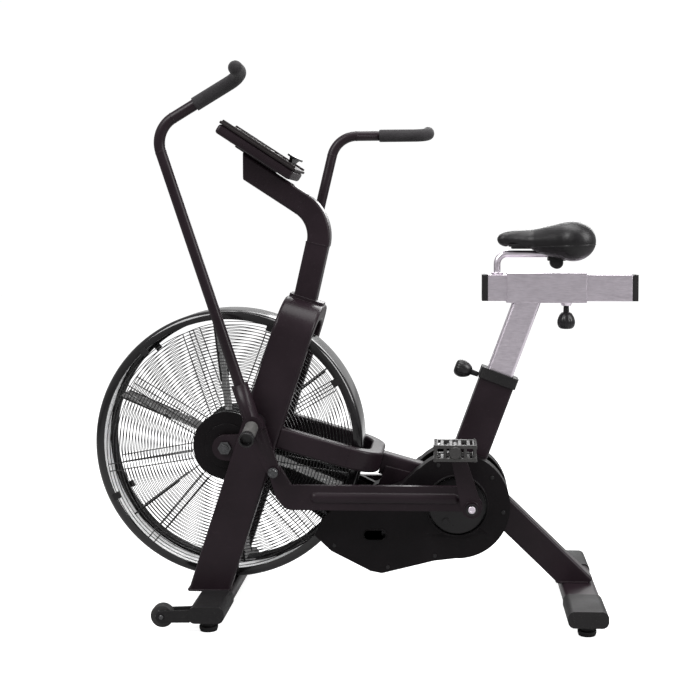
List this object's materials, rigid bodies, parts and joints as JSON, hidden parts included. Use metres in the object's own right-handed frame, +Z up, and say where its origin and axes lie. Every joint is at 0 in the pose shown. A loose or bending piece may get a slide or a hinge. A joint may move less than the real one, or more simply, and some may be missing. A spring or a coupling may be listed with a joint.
{
  "type": "air bike",
  "caption": "Air resistance exercise bike with a caged fan, swinging arms linked to the cranks, chain covers, an adjustable saddle on a post and slider, a console and floor stabilizers.",
  "frame": {"origin": "on the floor, midway along and across the object", "axes": "+X to the rear, from the fan to the saddle; +Y to the rider's right; +Z up"},
  "size_m": [1.283, 0.5884, 1.2654],
  "materials": {
    "frame_paint": "black textured powder coat",
    "cage_paint": "gloss black paint",
    "cover_plastic": "moulded, fine texture",
    "console_gloss": "smooth moulded",
    "rubber": "moulded rubber and hard plastic",
    "knob_plastic": "moulded",
    "wheel_rubber": "solid tyre on a plastic core",
    "silver_steel": "satin plated",
    "blade_steel": "pale galvanised sheet",
    "plain_steel": "machined",
    "crank_black": "semi-gloss black",
    "peg_steel": "grey tube with a black end",
    "pedal_alloy": "dark cast platform",
    "grip_foam": "closed cell foam",
    "saddle_cover": "fine grained vinyl"
  },
  "bodies": {
    "frame": {"fork_left": "frame_paint", "fork_right": "frame_paint", "mast": "frame_paint", "side_beam_left": "frame_paint", "side_beam_right": "frame_paint", "rear_bridge": "frame_paint", "spine_beam": "frame_paint", "seat_tube": "frame_paint", "post_collar": "rubber", "rear_tube": "frame_paint", "front_stabilizer": "frame_paint", "rear_stabilizer": "frame_paint", "stabilizer_caps": "rubber", "levelling_feet": "rubber", "axle_brackets": "frame_paint", "cage_rim": "cage_paint", "guard_left": "cage_paint", "guard_right": "cage_paint", "hub_covers": "cover_plastic", "rim_clips": "rubber", "fan_axle": "plain_steel", "chain_cover_left": "cover_plastic", "chain_cover_right": "cover_plastic", "cover_screws": "crank_black", "drive_chain": "plain_steel", "fan_chain": "plain_steel", "pivot_axles": "plain_steel", "foot_pegs": "peg_steel", "console_back": "cover_plastic", "console_front": "console_gloss", "device_tray": "rubber", "bearings": "plain_steel"},
    "cranks": {"crank_spindle": "plain_steel", "chainring": "plain_steel", "crank_discs": "crank_black", "crank_arm_left": "frame_paint", "crank_arm_right": "frame_paint"},
    "fan": {"fan_hub": "plain_steel", "fan_blades": "blade_steel", "fan_bearings": "plain_steel"},
    "jack": {"jackshaft": "plain_steel", "jackshaft_sprockets": "plain_steel"},
    "left_pedal": {"pedal_left": "pedal_alloy"},
    "right_pedal": {"pedal_right": "pedal_alloy"},
    "left_link": {"link_left": "frame_paint"},
    "right_link": {"link_right": "frame_paint"},
    "left_arm": {"arm_left": "frame_paint", "grip_left": "grip_foam"},
    "right_arm": {"arm_right": "frame_paint", "grip_right": "grip_foam"},
    "post": {"seat_post": "silver_steel"},
    "slider": {"slider_tube": "silver_steel", "slider_caps": "rubber", "seat_bar": "silver_steel", "saddle_base": "rubber", "saddle_pad": "saddle_cover"},
    "post_pin": {"post_knob": "knob_plastic"},
    "slider_pin": {"slider_knob": "knob_plastic"},
    "left_wheel": {"wheel_left": "wheel_rubber"},
    "right_wheel": {"wheel_right": "wheel_rubber"}
  },
  "joints": [
    {"name": "crank_spin", "type": "hinge", "parent": "frame", "child": "cranks", "pos_m": [0.222, 0, 0.252], "axis": [0, -1, 0], "continuous": true},
    {"name": "fan_spin", "type": "hinge", "parent": "frame", "child": "fan", "pos_m": [-0.318, 0, 0.391], "axis": [0, -1, 0], "continuous": true},
    {"name": "jack_spin", "type": "hinge", "parent": "frame", "child": "jack", "pos_m": [0.03, 0, 0.182], "axis": [0, -1, 0], "continuous": true},
    {"name": "left_pedal_spin", "type": "hinge", "parent": "cranks", "child": "left_pedal", "pos_m": [0.21649, -0.226, 0.4099], "axis": [0, -1, 0], "continuous": true},
    {"name": "right_pedal_spin", "type": "hinge", "parent": "cranks", "child": "right_pedal", "pos_m": [0.22751, 0.226, 0.0941], "axis": [0, -1, 0], "continuous": true},
    {"name": "left_link_turn", "type": "hinge", "parent": "cranks", "child": "left_link", "pos_m": [0.25463, -0.1385, 0.26721], "axis": [0, -1, 0], "continuous": true},
    {"name": "right_link_turn", "type": "hinge", "parent": "cranks", "child": "right_link", "pos_m": [0.18937, 0.1385, 0.23679], "axis": [0, -1, 0], "continuous": true},
    {"name": "left_arm_swing", "type": "hinge", "parent": "frame", "child": "left_arm", "pos_m": [-0.242, -0.17, 0.453], "axis": [0, 1, 0], "range_deg": [-3, 33]},
    {"name": "right_arm_swing", "type": "hinge", "parent": "frame", "child": "right_arm", "pos_m": [-0.242, 0.17, 0.453], "axis": [0, 1, 0], "range_deg": [-33, 3]},
    {"name": "post_height", "type": "slide", "parent": "frame", "child": "post", "axis": [0.3469, 0, 0.9379], "range_m": [-0.14, 0.05]},
    {"name": "slider_fore_aft", "type": "slide", "parent": "post", "child": "slider", "axis": [1, 0, 0], "range_m": [-0.1, 0.006]},
    {"name": "post_pin_pull", "type": "slide", "parent": "frame", "child": "post_pin", "axis": [-0.9379, 0, 0.3469], "range_m": [0, 0.01], "stiffness_N_per_m": 500},
    {"name": "slider_pin_pull", "type": "slide", "parent": "post", "child": "slider_pin", "axis": [0, 0, -1], "range_m": [0, 0.01], "stiffness_N_per_m": 500},
    {"name": "left_wheel_spin", "type": "hinge", "parent": "frame", "child": "left_wheel", "pos_m": [-0.436, -0.246, 0.038], "axis": [0, -1, 0], "continuous": true},
    {"name": "right_wheel_spin", "type": "hinge", "parent": "frame", "child": "right_wheel", "pos_m": [-0.436, 0.246, 0.038], "axis": [0, -1, 0], "continuous": true}
  ],
  "couplings": [
    {"joint": "jack_spin", "follows": "crank_spin", "ratio": 3.1429},
    {"joint": "fan_spin", "follows": "crank_spin", "ratio": 6.7347},
    {"joint": "left_link_turn", "follows": "crank_spin", "ratio": -1},
    {"joint": "right_link_turn", "follows": "crank_spin", "ratio": -1},
    {"joint": "right_arm_swing", "follows": "left_arm_swing", "ratio": -1}
  ]
}
